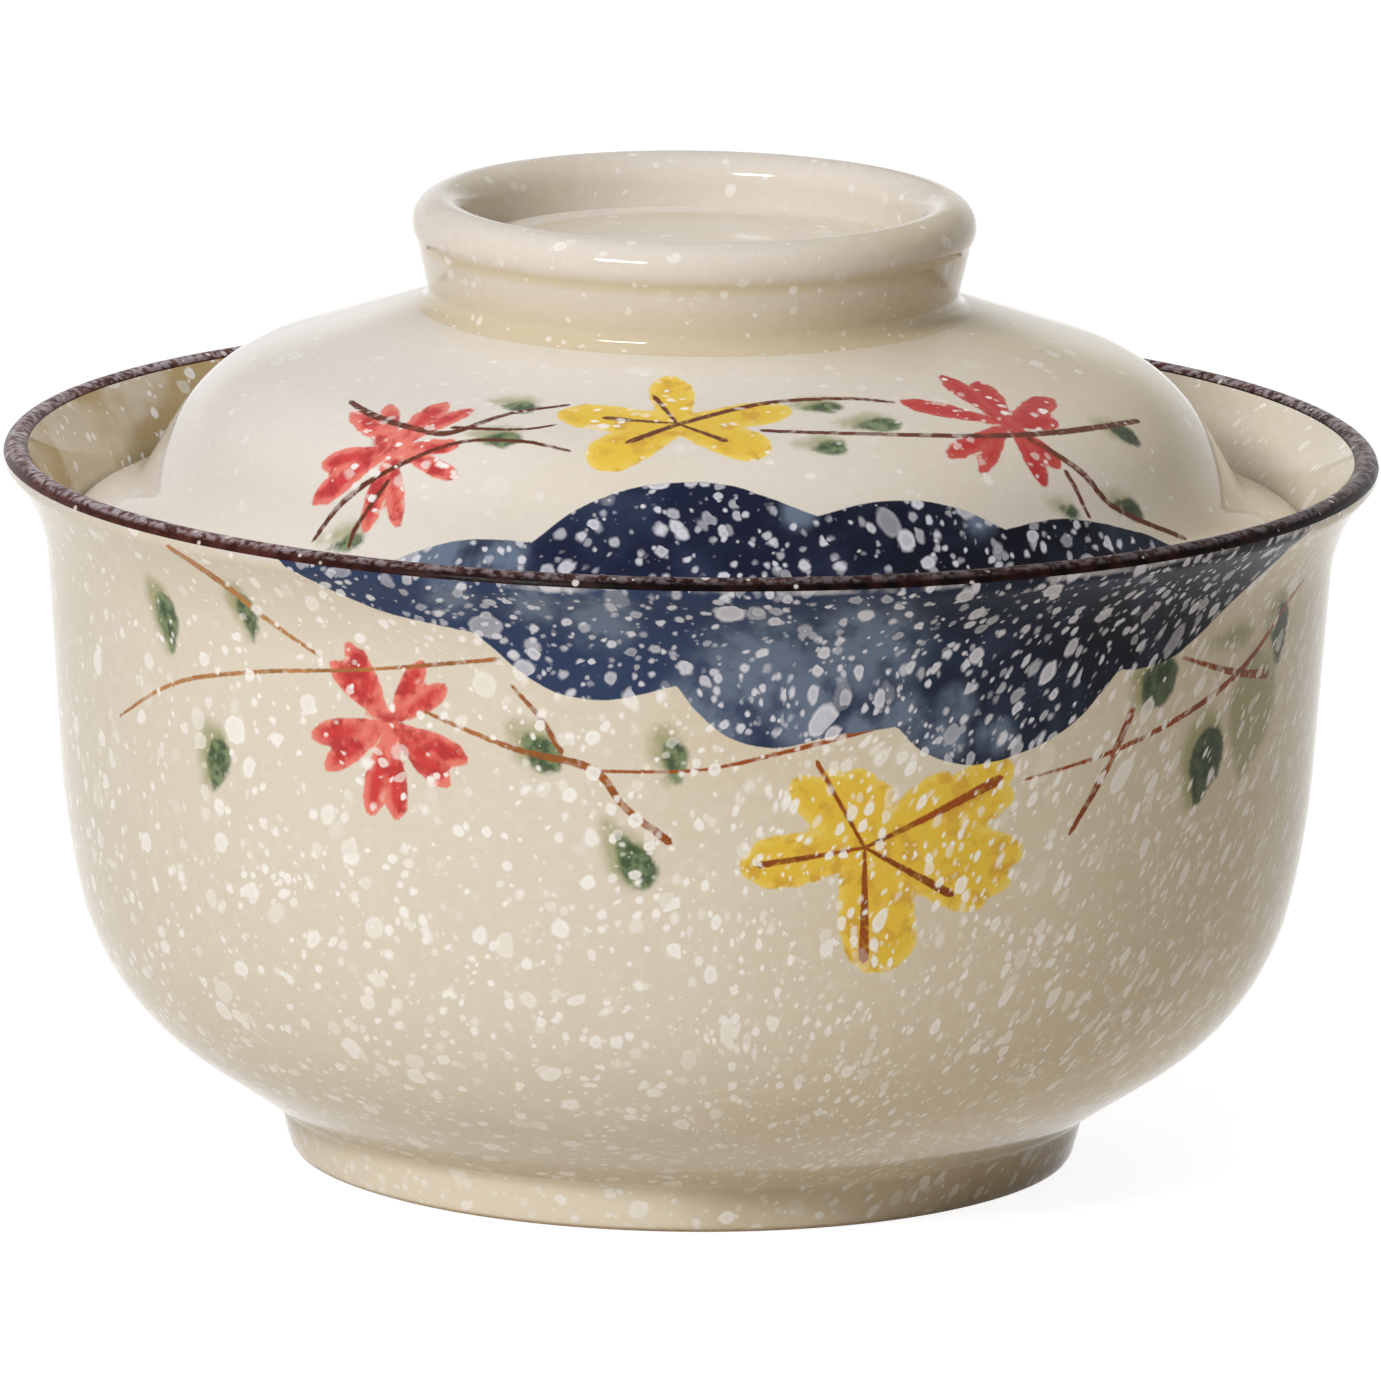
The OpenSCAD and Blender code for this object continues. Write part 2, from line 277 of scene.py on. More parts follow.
class Turned:
    """A piece turned about Z: its rings, its mesh, and the fields on it."""

    def __init__(self, name, node, body, slot, material, segments, spacing):
        self.rings, sharp, self.closed = rings_of(node, spacing)
        self.azimuth = np.arange(segments) * 2 * math.pi / segments
        self.around = (np.degrees(self.azimuth) + 180) % 360 - 180
        after, before = np.roll(self.rings, -1, axis=0), np.roll(self.rings, 1, axis=0)
        if not self.closed:
            before[0], after[-1] = self.rings[0], self.rings[-1]
        self.normal = normals_of(after - before)
        self.length = np.r_[0, np.cumsum(np.linalg.norm(np.diff(self.rings, axis=0), axis=1))]
        self.pole = self.rings[:, 0] < TINY
        self.object = self.build(name, segments, sharp)
        self.object.data.materials.append(material)
        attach(self.object, body)
        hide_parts(node)

    def build(self, name, segments, sharp):
        """The mesh: a grid of rings and segments, closed by triangles where the profile meets the axis."""
        radius, height = self.rings[:, :1], np.repeat(self.rings[:, 1:], segments, axis=1)
        x, y = radius * np.sin(self.azimuth), -radius * np.cos(self.azimuth)
        self.grid = np.stack([x, y, height], axis=-1)
        sizes = np.where(self.pole, 1, segments)
        first = np.cumsum(np.r_[0, sizes])
        here, there = np.arange(segments), np.roll(np.arange(segments), -1)
        count = len(self.rings)
        faces = []
        for i in range(count if self.closed else count - 1):
            j = (i + 1) % count
            if self.pole[i]:
                corners = np.full(segments, first[i]), first[j] + there, first[j] + here
            elif self.pole[j]:
                corners = first[i] + here, first[i] + there, np.full(segments, first[j])
            else:
                corners = first[i] + here, first[i] + there, first[j] + there, first[j] + here
            faces += np.stack(corners, axis=1).tolist()
        mesh = bpy.data.meshes.new(name)
        mesh.from_pydata((self.per_point(self.grid) * MM).tolist(), [], faces)
        mesh.shade_smooth()
        ring = np.repeat(np.arange(count), sizes)[edge_ends(mesh)]
        marks = (ring[:, 0] == ring[:, 1]) & sharp[ring[:, 0]]
        mesh.attributes.new("sharp_edge", "BOOLEAN", "EDGE").data.foreach_set("value", marks)
        return add_object(name, mesh)

    def per_point(self, field):
        """A field of the grid as one row for each point of the mesh."""
        return np.concatenate([row[:1] if pole else row for row, pole in zip(field, self.pole)])

    def store(self, name, field):
        """Puts a field of the grid on the mesh, a number or a vector for each point."""
        field = np.broadcast_to(field, self.grid.shape[:2]) if np.ndim(field) < 3 else field
        values = self.per_point(field).astype(np.float32)
        kind, key = ("FLOAT", "value") if values.ndim == 1 else ("FLOAT_VECTOR", "vector")
        self.object.data.attributes.new(name, kind, "POINT").data.foreach_set(key, values.ravel())

    def blank(self, value=FAR):
        """A field that has one value everywhere."""
        return np.full(self.grid.shape[:2], float(value))

    def near_height(self, height, reach):
        """Field that is 1 at a height and falls to 0 at a reach from it."""
        return self.blank(0) + np.clip(1 - np.abs(self.rings[:, 1:] - height) / reach, 0, 1)


# Painting

class Painting:
    """Brush strokes on the outside of a turned piece. Distances lie on its surface, in millimetres."""

    STEP = 0.3  # between the samples of a stroke
    LEAST_SAMPLES = 4  # of a dab
    BROAD_BAND = 3.0  # how far beside a broad stroke its field reaches
    FINE_BAND = 1.3  # the same for a fine stroke
    FINE_GAP = 1.2  # least gap between the bands of fine strokes in one layer
    VEIN_START = 0.2  # half width of a vein where it begins
    HALO_SHIFT = (-1.1, 0.9)  # from a leaf to its pale halo, to the right and up
    HALO_SHARE = 1.3  # a halo's size as a share of its leaf's

    # Two forms of a dab: places along its length, and its width there as shares of its full width
    SLIM = ((0, 0.3, 0.65, 0.85, 1), (0.25, 0.6, 1.0, 0.9, 0.4))
    FULL = ((0, 0.3, 0.65, 0.85, 1), (0.5, 0.8, 1.0, 0.95, 0.55))

    def __init__(self, piece, outside):
        self.piece = piece
        order = np.flatnonzero(outside)
        self.rows = order[np.argsort(piece.rings[order, 1])]
        self.radius, self.height = piece.rings[self.rows].T
        self.along = np.abs(piece.length[self.rows] - piece.length[self.rows[0]])

    def dab(self, azimuth, height, direction, length, half, form=SLIM):
        """A dab's samples: azimuth, length along the profile, half width."""
        share = np.linspace(0, 1, max(self.LEAST_SAMPLES, round(length / self.STEP)))
        reach = share * (length - half * form[1][-1])
        along = np.interp(height, self.height, self.along) + reach * math.sin(math.radians(direction))
        across = reach * math.cos(math.radians(direction))
        radius = np.interp(along, self.along, self.radius)
        return azimuth + np.degrees(across / radius), along, half * np.interp(share, *form)

    def leaf(self, azimuth, height, direction, length, half, shift=(0, 0)):
        """A dab placed by its middle, and shifted to the right and up."""
        back = -length / 2
        turn = math.radians(direction)
        across = shift[0] + back * math.cos(turn)
        along = np.interp(height, self.height, self.along) + shift[1] + back * math.sin(turn)
        radius = np.interp(along, self.along, self.radius)
        start = azimuth + math.degrees(across / radius), np.interp(along, self.along, self.height)
        return self.dab(*start, direction, length, half)

    def twig(self, points):
        """The samples of a stroke through points: azimuth, length along the profile, half width."""
        points = np.array(points, float)
        along = np.interp(points[:, 1], self.height, self.along)
        radius = np.interp(along, self.along, self.radius).mean()
        curve = smooth_curve(np.c_[np.radians(points[:, 0]) * radius, along, points[:, 2]])
        curve = resample(curve, self.STEP)
        return np.degrees(curve[:, 0] / radius), curve[:, 1], curve[:, 2]

    def vein(self, azimuth, height, direction, length, half):
        """A fine stroke from a flower's middle, which widens towards its end."""
        around, along, _ = self.dab(azimuth, height, direction, length, half)
        return around, along, np.linspace(self.VEIN_START, half, len(along))

    def nearby(self, azimuth, along, reach):
        """The part of the grid within reach of a stroke, and its steps across and up from each sample."""
        rows = np.flatnonzero((self.along > along.min() - reach) & (self.along < along.max() + reach))
        middle = (azimuth.min() + azimuth.max()) / 2
        away = (self.piece.around - middle + 180) % 360 - 180
        span = (azimuth.max() - azimuth.min()) / 2 + math.degrees(reach / self.radius.min())
        columns = np.flatnonzero(np.abs(away) < span)
        across = np.radians(away[columns][:, None] + middle - azimuth) * self.radius[rows][:, None, None]
        up = np.broadcast_to((self.along[rows][:, None] - along)[:, None, :], across.shape)
        return np.ix_(self.rows[rows], columns), across, up

    def on_both_sides(self, field):
        """The field together with its copy half a turn round."""
        return np.maximum(field, np.roll(field, field.shape[1] // 2, axis=1))

    def broad(self, strokes):
        """Field of broad strokes: how far inside their outline a point lies."""
        field = self.piece.blank()
        for azimuth, along, half in strokes:
            where, across, up = self.nearby(azimuth, along, half.max() + self.BROAD_BAND)
            field[where] = np.maximum(field[where], (half - np.hypot(across, up)).max(axis=-1))
        return self.on_both_sides(field)

    def fine(self, strokes):
        """Layers of fine strokes, as fields of vectors: the step to a stroke's side, and its half width.

        Strokes that come near each other lie in different layers, so that their sides don't mix.
        """
        empty = np.broadcast_to((-FAR, FAR, 0.0), self.piece.grid.shape)
        layers = [empty.copy() for _ in range(FINE_LAYERS)]
        reach = self.FINE_BAND + self.FINE_GAP
        for azimuth, along, half in strokes:
            where, across, up = self.nearby(azimuth, along, half.max() + 2 * reach)
            radius = np.interp(along, self.along, self.radius)
            tangent = np.gradient(np.radians(azimuth) * radius), np.gradient(along)
            tangent = np.array(tangent) / np.hypot(*tangent)
            nearest = np.argmin(np.hypot(across, up), axis=-1)
            right, over = (np.take_along_axis(step, nearest[..., None], -1)[..., 0] for step in (across, up))
            tx, ty = tangent[:, nearest]
            side, ahead = tx * over - ty * right, tx * right + ty * over
            past = np.where(nearest == 0, -ahead, np.where(nearest == len(half) - 1, ahead, 0))
            width = half[nearest] - np.maximum(past, 0)
            away = np.maximum(np.abs(side) - half[nearest], past)
            near = away < reach
            layer = next(one for one in layers if not (one[where][near][:, 1] > FAR).any())
            stroke = np.stack([side, width, np.zeros_like(side)], axis=-1)
            layer[where] = np.where((away < self.FINE_BAND)[..., None], stroke, layer[where])
        for layer in layers:
            behind = np.roll(layer, layer.shape[1] // 2, axis=1)
            layer[:] = np.where(behind[..., 1:2] > layer[..., 1:2], behind, layer)
        return layers

    def cloud(self, lobes, hangs):
        """Field of a cloud, above its lobes' edge if it hangs or else below: how far inside a point lies."""
        field = self.piece.blank()
        around = self.piece.around
        for curve in map(smooth_curve, lobes):
            columns = np.flatnonzero((around >= curve[0, 0]) & (around <= curve[-1, 0]))
            columns = columns[np.argsort(around[columns])]
            edge = np.interp(np.interp(around[columns], *curve.T), self.height, self.along)
            slope = np.gradient(edge, np.radians(around[columns]) * self.radius.mean())
            gap = (self.along[:, None] - edge) * (1 if hangs else -1)
            field[np.ix_(self.rows, columns)] = gap / np.sqrt(1 + slope ** 2)
        return self.on_both_sides(field)

    def washes(self, spots):
        """Field of soft round spots, from 0 to 1."""
        field = self.piece.blank(0)
        for azimuth, height, radius in spots:
            along = np.interp([height], self.height, self.along)
            where, across, up = self.nearby(np.array([azimuth]), along, radius)
            field[where] = np.maximum(field[where], 1 - np.hypot(across, up)[..., 0] / radius)
        return self.on_both_sides(field)

    def paint(self, plan, hangs):
        """Stores the fields of a whole painting."""
        halo = [self.leaf(a, z, d, length * self.HALO_SHARE, half * self.HALO_SHARE, self.HALO_SHIFT)
                for a, z, d, length, half in plan["leaves"]]
        broad = {
            "red": [self.dab(a, z, *petal) for a, z, petals in plan["red"] for petal in petals],
            "yellow": [self.dab(a, z, *petal, self.FULL)
                       for a, z, petals in plan["yellow"] for petal in petals],
            "leaf": [self.leaf(*leaf) for leaf in plan["leaves"]],
            "halo": halo + [self.leaf(*leaf) for leaf in plan["pale leaves"]],
        }
        fine = [self.twig(points) for points in plan["twigs"]]
        fine += [self.vein(a, z, *vein) for a, z, veins in plan["veins"] for vein in veins]
        for name, strokes in broad.items():
            self.piece.store(name, self.broad(strokes))
        for number, layer in enumerate(self.fine(fine)):
            self.piece.store(f"fine_{number}", layer)
        self.piece.store("cloud", self.cloud(plan["lobes"], hangs))
        self.piece.store("wash", self.washes(plan["washes"]))


FLECK_SEED = 7
FLECK_WAVES = 8  # number of the waves that bend the flecks
FLECK_WAVE_LENGTHS = (6, 14)  # shortest and longest, in millimetres
FLECK_WAVE_REACH = 0.25  # in millimetres
FLECK_SHIFT = (3.0, 0.0, 5.5)  # moves all flecks, so that no large one hides a flower's middle
LEAN_RADIUS = 40  # flecks nearer to the axis lean as if they were this far from it
LEAST_RADIUS = 1  # the same for their width
INWARD = -0.1  # a face whose normal points outwards by less than this looks inwards


def fleck_space(piece, lean, narrow, flat):
    """Where the flecks are looked up, so that they lean and stretch on the right, and bend everywhere.

    The lean is their step to the right as a share of their rise, and narrow and flat are how much smaller
    they are across and upwards, each from the left to the middle and on the right.
    """
    rng = np.random.default_rng(FLECK_SEED)
    right = np.clip(np.sin(piece.azimuth), 0, 1)
    up = piece.length[:, None] - np.median(piece.length)
    radius = np.maximum(piece.rings[:, :1], LEAST_RADIUS)
    turned = piece.azimuth - np.interp(right, (0, 1), lean) * up / np.maximum(radius, LEAN_RADIUS)
    wide = radius * np.interp(right, (0, 1), narrow)
    tall = up * np.interp(right, (0, 1), flat)
    space = np.stack([wide * np.sin(turned), -wide * np.cos(turned), tall], axis=-1)
    space += FLECK_SHIFT
    for _ in range(FLECK_WAVES):
        wave = rng.normal(size=3)
        wave *= 2 * math.pi / rng.uniform(*FLECK_WAVE_LENGTHS) / np.linalg.norm(wave)
        push = rng.normal(size=3)
        push *= FLECK_WAVE_REACH / np.linalg.norm(push)
        space = space + np.sin(piece.grid @ wave + rng.uniform(0, 2 * math.pi))[..., None] * push
    return space


def glaze_fields(piece, flecks, slant, pool_and_shade=0, tan_blotch=0, bare=0, fringe=FAR):
    """The fields that every glazed piece has: flecks, pooled glaze with painted shade, tan blotches, bare
    clay, and the coat's edge.

    The side is how far to the right a place faces, from -1 to 1; the colours darken and warm what faces
    right as painted shade.
    """
    faces = np.where(piece.normal[:, :1] < INWARD, -1, 1)
    piece.store("side", faces * np.sin(piece.azimuth))
    piece.store("fleck_space", fleck_space(piece, **slant))
    fields = {"flecks": flecks, "pool_and_shade": pool_and_shade, "tan_blotch": tan_blotch, "bare": bare, "fringe": fringe}
    for name, field in fields.items():
        piece.store(name, piece.blank(0) + field)


# Materials

def srgb(red, green, blue):
    """A colour as it looks on screen, 0 to 255, in the numbers that a shader takes."""
    shares = (c / 255 for c in (red, green, blue))
    return tuple(c / 12.92 if c <= 0.04045 else ((c + 0.055) / 1.055) ** 2.4 for c in shares) + (1.0,)


class Shader:
    """The nodes of a material or of the world, with a method for each step. Sizes are in millimetres."""

    NOISE_DETAIL = 3.0  # octaves of the noise, and of the one that makes flecks ragged
    RAGGED_DETAIL = 1.0
    NOISE_MIDDLE = 0.5
    BUMP_HEIGHT = 0.1 * MM  # of the relief at its full strength, in metres

    def __init__(self, owner, surface="Principled BSDF", place="Object"):
        owner.use_nodes = True
        self.owner = owner
        self.nodes, self.links = owner.node_tree.nodes, owner.node_tree.links
        self.surface = self.nodes[surface]
        self.place = self.add("ShaderNodeTexCoord").outputs[place]
        self.noises = {}

    def feed(self, sockets, values):
        """Gives each socket its link or value."""
        for socket, value in zip(sockets, values):
            if isinstance(value, bpy.types.NodeSocket):
                self.links.new(value, socket)
            else:
                socket.default_value = value

    def give(self, node, inputs):
        """Gives a node's inputs, by their names, their links or values."""
        self.feed([node.inputs[name] for name in inputs], inputs.values())

    def add(self, kind, operation=None, **inputs):
        """A new node, with some of its inputs given by name."""
        node = self.nodes.new(kind)
        if operation:
            node.operation = operation
        self.give(node, inputs)
        return node

    def math(self, operation, *values):
        node = self.add("ShaderNodeMath", operation)
        self.feed(node.inputs, values)
        return node.outputs[0]

    def attribute(self, name, output="Fac"):
        node = self.add("ShaderNodeAttribute")
        node.attribute_name = name
        return node.outputs[output]

    def noise(self, size):
        """Smooth noise from 0 to 1 with lumps of a size."""
        if size not in self.noises:
            node = self.add("ShaderNodeTexNoise", Vector=self.place, Scale=1 / (size * MM),
                            Detail=self.NOISE_DETAIL)
            self.noises[size] = node.outputs["Fac"]
        return self.noises[size]

    def ramp(self, value, low, high, to_low=0.0, to_high=1.0):
        """A soft step: to_low up to a low value, to_high from a high value on."""
        node = self.add("ShaderNodeMapRange")
        node.interpolation_type = "SMOOTHSTEP"
        self.feed(node.inputs, (value, low, high, to_low, to_high))
        return node.outputs["Result"]

    def mix(self, share, first, second, kind="RGBA"):
        """The first at a share of 0, the second at 1."""
        node = self.add("ShaderNodeMix")
        node.data_type = kind
        self.feed([s for s in node.inputs if s.enabled], (share, first, second))
        return next(s for s in node.outputs if s.enabled)

    def wobble(self, field, size, reach):
        """The field with an edge that wanders by up to a reach."""
        away = self.math("SUBTRACT", self.noise(size), self.NOISE_MIDDLE)
        return self.math("MULTIPLY_ADD", away, 2 * reach, field)

    def ragged(self, space, size, reach):
        """The space with every place pushed about by up to a reach, in lumps of a size."""
        noise = self.add("ShaderNodeTexNoise", Vector=space, Scale=1 / size, Detail=self.RAGGED_DETAIL)
        push = self.add("ShaderNodeVectorMath", "MULTIPLY_ADD")
        self.feed(push.inputs, (noise.outputs["Color"], (2 * reach,) * 3, space))
        return push.outputs["Vector"]

    def spots(self, space, cell, smallest, largest, share):
        """Field of round spots, about one for each cell times the share: how far inside a spot a point lies.

        The second field is a number from 0 to 1 for each spot.
        """
        node = self.add("ShaderNodeTexVoronoi", Vector=space, Scale=1 / cell)
        split = self.add("ShaderNodeSeparateColor", Color=node.outputs["Color"])
        radius = self.math("POWER", split.outputs[0], 2)  # squared, so that most spots are small
        radius = self.math("MULTIPLY_ADD", radius, largest - smallest, smallest)
        chosen = self.math("LESS_THAN", split.outputs[1], share)
        radius = self.math("MULTIPLY", radius, chosen)
        return self.math("MULTIPLY_ADD", node.outputs["Distance"], -cell, radius), split.outputs[2]

    def finish(self, colour, roughness, relief, bump, shine):
        """The material with its surface: the bump is the strength of its relief."""
        node = self.add("ShaderNodeBump", Strength=bump, Distance=self.BUMP_HEIGHT, Height=relief)
        self.give(self.surface, {"Base Color": colour, "Roughness": roughness,
                                 "Normal": node.outputs["Normal"], "Specular IOR Level": shine})
        return self.owner


# Colours, as they look on screen
BOWL_CREAM = srgb(223, 214, 198), srgb(218, 205, 180)  # creams are pairs: pale and warm; the warm one also paints shade on faces that look right
FOOT_CREAM = srgb(236, 226, 208), srgb(204, 188, 160)
LID_CREAM = srgb(229, 222, 214), srgb(222, 211, 195)
# the lid's cream made darker for its ring, as painted shade under the ring's lip
RING_SHADED_CREAM = srgb(223, 214, 203), srgb(213, 199, 176)
PALE_GRAIN = srgb(240, 235, 224)
TAN_BLOTCH = srgb(180, 150, 88)
# tan of pooled glaze, also laid on as painted shade in the lid's recess, on its right flank and on the
# ring's waist
POOL_AND_SHADE = srgb(208, 190, 148)
CLAY = srgb(176, 150, 118), srgb(202, 180, 150)
FLECK = srgb(250, 247, 243)
CLOUD_FLECK = srgb(222, 222, 232)
YELLOW = srgb(238, 206, 86), srgb(233, 194, 54), srgb(214, 162, 42)  # thin paint, thick paint, strokes
RED = srgb(232, 122, 108), srgb(208, 44, 46), srgb(178, 24, 34)
SHADED_RED = srgb(184, 16, 20)
GREEN = srgb(60, 84, 58), srgb(122, 140, 102)
SHADED_GREEN = srgb(34, 52, 36)
HALO = srgb(158, 156, 110)
BOWL_TWIGS = srgb(188, 132, 78), srgb(158, 78, 28)  # on the left and on the right: the darker right is partly painted shade
LID_TWIGS = srgb(104, 56, 42), srgb(112, 62, 44)
DARK_TWIG = srgb(84, 40, 24)
BOWL_NAVY = srgb(50, 64, 98), srgb(18, 18, 28)  # on the left and on the right: the darker right is painted shade
LID_NAVY = srgb(27, 33, 60), srgb(9, 11, 26)
SLATE = srgb(66, 80, 108)
WASH = srgb(114, 128, 150)
FRINGE = srgb(214, 212, 212)
COAT_DARK = srgb(14, 8, 8), srgb(62, 30, 25)  # on the right and on the left: the darker right is painted shade
COAT_BROWN = srgb(42, 22, 18), srgb(92, 52, 46)
COAT_LIT_TOP = srgb(98, 62, 56)
COAT_SHEEN = srgb(182, 170, 176)
COAT_SPECK = srgb(220, 212, 206)

# Sizes of the lumps of noise, in millimetres
DUST = 0.7
SHEEN_PATCH = 0.9
GRAIN = 1.4
STREAK = 2.2
RUST = 2.4
MOTTLE = 3.0
SPOT = 7.0
PATCH = 14.0
CAST = 45.0

# Flecks, by size: their cells, their radii, their share of the density, and the width of their soft edge
FLECK_KINDS = (
    (1.4, 0.20, 0.46, 0.9, 0.14),
    (1.9, 0.34, 0.90, 1.0, 0.18),
    (3.2, 0.55, 1.45, 1.0, 0.22),
    (7.0, 0.90, 2.00, 0.5, 0.24),
)
FAINT_FLECKS = (6.0, 0.7, 1.9, 0.25)  # their cells, their radii and their density
COAT_SPECKS = (1.8, 0.15, 0.50, 0.35)  # the same on the iron coat
RAGGED = (1.2, 0.35)  # size and reach of what makes the flecks ragged


def cream(s, pale, warm):
    """The glaze itself: cream and mottled, with tan blotches, browner where glaze pools and where shade is
    painted, and warmer on faces that look right as painted shade.
    """
    # painted shade: faces that look right, away from the light, get more of the warm, darker cream, among
    # large random patches of it
    warm_and_shaded = s.math("MULTIPLY_ADD", s.attribute("side"), 0.25, s.noise(CAST))
    colour = s.mix(s.ramp(warm_and_shaded, 0.42, 0.80), pale, warm)
    colour = s.mix(s.ramp(s.noise(GRAIN), 0.45, 0.75, 0.0, 0.2), colour, PALE_GRAIN)
    tan_blotch = s.math("MULTIPLY", s.attribute("tan_blotch"), s.ramp(s.noise(PATCH), 0.42, 0.56, 0.15, 0.75))
    colour = s.mix(tan_blotch, colour, TAN_BLOTCH)
    return s.mix(s.math("MULTIPLY", s.attribute("pool_and_shade"), 0.5), colour, POOL_AND_SHADE)


def flecks(s, density):
    """Mask of the white flecks: many small ones, fewer broad ones, and faint ones among them."""
    space = s.ragged(s.attribute("fleck_space", "Vector"), *RAGGED)
    mask = s.ramp(s.spots(space, *FAINT_FLECKS)[0], -0.2, 0.2, 0.0, 0.22)
    for cell, smallest, largest, share, soft in FLECK_KINDS:
        inside, tone = s.spots(space, cell, smallest, largest, s.math("MULTIPLY", density, share))
        edge = s.ramp(inside, -soft, soft)
        heart = s.ramp(inside, 0.2, 0.6, 1.0, 0.8)
        one = s.math("MULTIPLY", s.math("MULTIPLY", edge, heart), s.ramp(tone, 0.0, 0.8, 0.45, 0.95))
        mask = s.math("MAXIMUM", mask, one)
    return mask


def glazed(s, colour, density, white, strength, shine):
    """Finishes a glaze: its flecks of a strength, the bare clay under the foot, and its gloss."""
    colour = s.mix(s.math("MULTIPLY", flecks(s, density), strength), colour, white)
    bare = s.attribute("bare")
    colour = s.mix(bare, colour, s.mix(s.noise(DUST), *CLAY))
    roughness = s.math("MULTIPLY_ADD", bare, 0.5, s.ramp(s.noise(SPOT), 0.3, 0.7, 0.05, 0.10))
    return s.finish(colour, roughness, s.noise(MOTTLE), 0.08, shine)


def plain_glaze(name, pale, warm, strength, shine):
    """The glaze of the foot or the lid's ring, with no painting. The strength is that of its flecks."""
    s = Shader(bpy.data.materials.new(name))
    return glazed(s, cream(s, pale, warm), s.attribute("flecks"), FLECK, strength, shine)


def petals(s, field, thin, thick, shade):
    """A mask and a colour for petals: thin paint at their edge, thick paint inside, and darker strokes."""
    inside = s.wobble(s.attribute(field), GRAIN, 0.35)
    colour = s.mix(s.ramp(s.wobble(inside, STREAK, 1.0), 0.1, 1.2), thin, thick)
    colour = s.mix(s.ramp(s.noise(STREAK), 0.50, 0.66, 0.0, 0.8), colour, shade)
    return s.ramp(inside, -0.18, 0.18, 0.0, 0.95), colour


def flowers_and_leaves(s, colour):
    """The colour with the halos, petals and leaves painted over it, and the mask of the petals."""
    halo = s.ramp(s.wobble(s.attribute("halo"), GRAIN, 0.9), -1.0, 1.4, 0.0, 0.8)
    colour = s.mix(halo, colour, HALO)
    yellow_mask, yellow = petals(s, "yellow", *YELLOW)
    colour = s.mix(yellow_mask, colour, yellow)
    red_mask, red = petals(s, "red", *RED)
    # painted shade: the red deepens on faces that look right, away from the light
    red = s.mix(s.ramp(s.attribute("side"), 0.0, 0.7, 0.0, 0.75), red, SHADED_RED)
    colour = s.mix(red_mask, colour, red)
    green = s.mix(s.ramp(s.noise(GRAIN), 0.40, 0.62), *GREEN)
    # painted shade: the green darkens on faces that look right
    green = s.mix(s.ramp(s.attribute("side"), 0.4, 0.85, 0.0, 0.75), green, SHADED_GREEN)
    leaf = s.ramp(s.wobble(s.attribute("leaf"), GRAIN, 0.7), -0.4, 0.4, 0.0, 0.93)
    return s.mix(leaf, colour, green), s.math("MAXIMUM", red_mask, yellow_mask)


def twigs_and_veins(s, colour, twigs):
    """The colour with the fine strokes painted over it, as with a dry brush."""
    inside = FAR
    for number in range(FINE_LAYERS):
        step = s.add("ShaderNodeSeparateXYZ", Vector=s.attribute(f"fine_{number}", "Vector"))
        depth = s.math("SUBTRACT", step.outputs["Y"], s.math("ABSOLUTE", step.outputs["X"]))
        inside = s.math("MAXIMUM", inside, depth)
    # twigs change from their left colour to their right one; on the bowl this paints shade on the right
    brown = s.mix(s.ramp(s.attribute("side"), -0.7, 0.15), *twigs)
    brown = s.mix(s.ramp(s.noise(SPOT), 0.40, 0.65, 0.0, 0.4), brown, DARK_TWIG)
    dry = s.ramp(s.noise(GRAIN), 0.28, 0.50, 0.55, 1.0)
    stroke = s.ramp(s.wobble(inside, DUST, 0.12), -0.1, 0.1)
    return s.mix(s.math("MULTIPLY", stroke, dry), colour, brown)


def clouded(s, colour, navy):
    """The colour with the cloud over it and a pale grey line in patches below the lip's coat, and the mask
    of the cloud.
    """
    # painted shade: the navy darkens towards faces that look right, away from the light
    blue = s.mix(s.ramp(s.attribute("side"), -0.2, 0.75), *navy)
    blue = s.mix(s.ramp(s.noise(SPOT), 0.42, 0.78, 0.0, 0.4), blue, SLATE)
    washed = s.math("MULTIPLY", s.attribute("wash"), s.ramp(s.noise(MOTTLE), 0.30, 0.65, 0.4, 1.0))
    blue = s.mix(s.ramp(washed, 0.0, 0.65, 0.0, 0.85), blue, WASH)
    cloud = s.ramp(s.wobble(s.attribute("cloud"), MOTTLE, 0.2), -0.1, 0.1)
    colour = s.mix(cloud, colour, blue)
    line = s.ramp(s.wobble(s.attribute("fringe"), GRAIN, 0.3), -0.7, -0.2, 0.0, 0.6)
    return s.mix(s.math("MULTIPLY", line, s.ramp(s.noise(SPOT), 0.44, 0.58)), colour, FRINGE), cloud


def painted_glaze(name, pale, warm, twigs, navy, cloud_flecks, petal_flecks, strength, shine):
    """The glaze of the bowl or the lid: cream with the sprays, the cloud and the flecks on it.

    The cloud and the petals have flecks of their own density. The strength is that of the cream's flecks.
    """
    s = Shader(bpy.data.materials.new(name))
    colour, petal = flowers_and_leaves(s, cream(s, pale, warm))
    colour = twigs_and_veins(s, colour, twigs)
    colour, cloud = clouded(s, colour, navy)
    density = s.math("MAXIMUM", s.attribute("flecks"), s.math("MULTIPLY", petal, petal_flecks))
    density = s.mix(cloud, density, cloud_flecks, "FLOAT")
    strength = s.mix(s.math("MAXIMUM", petal, cloud), strength, 1.0, "FLOAT")
    return glazed(s, colour, density, s.mix(cloud, FLECK, CLOUD_FLECK), strength, shine)


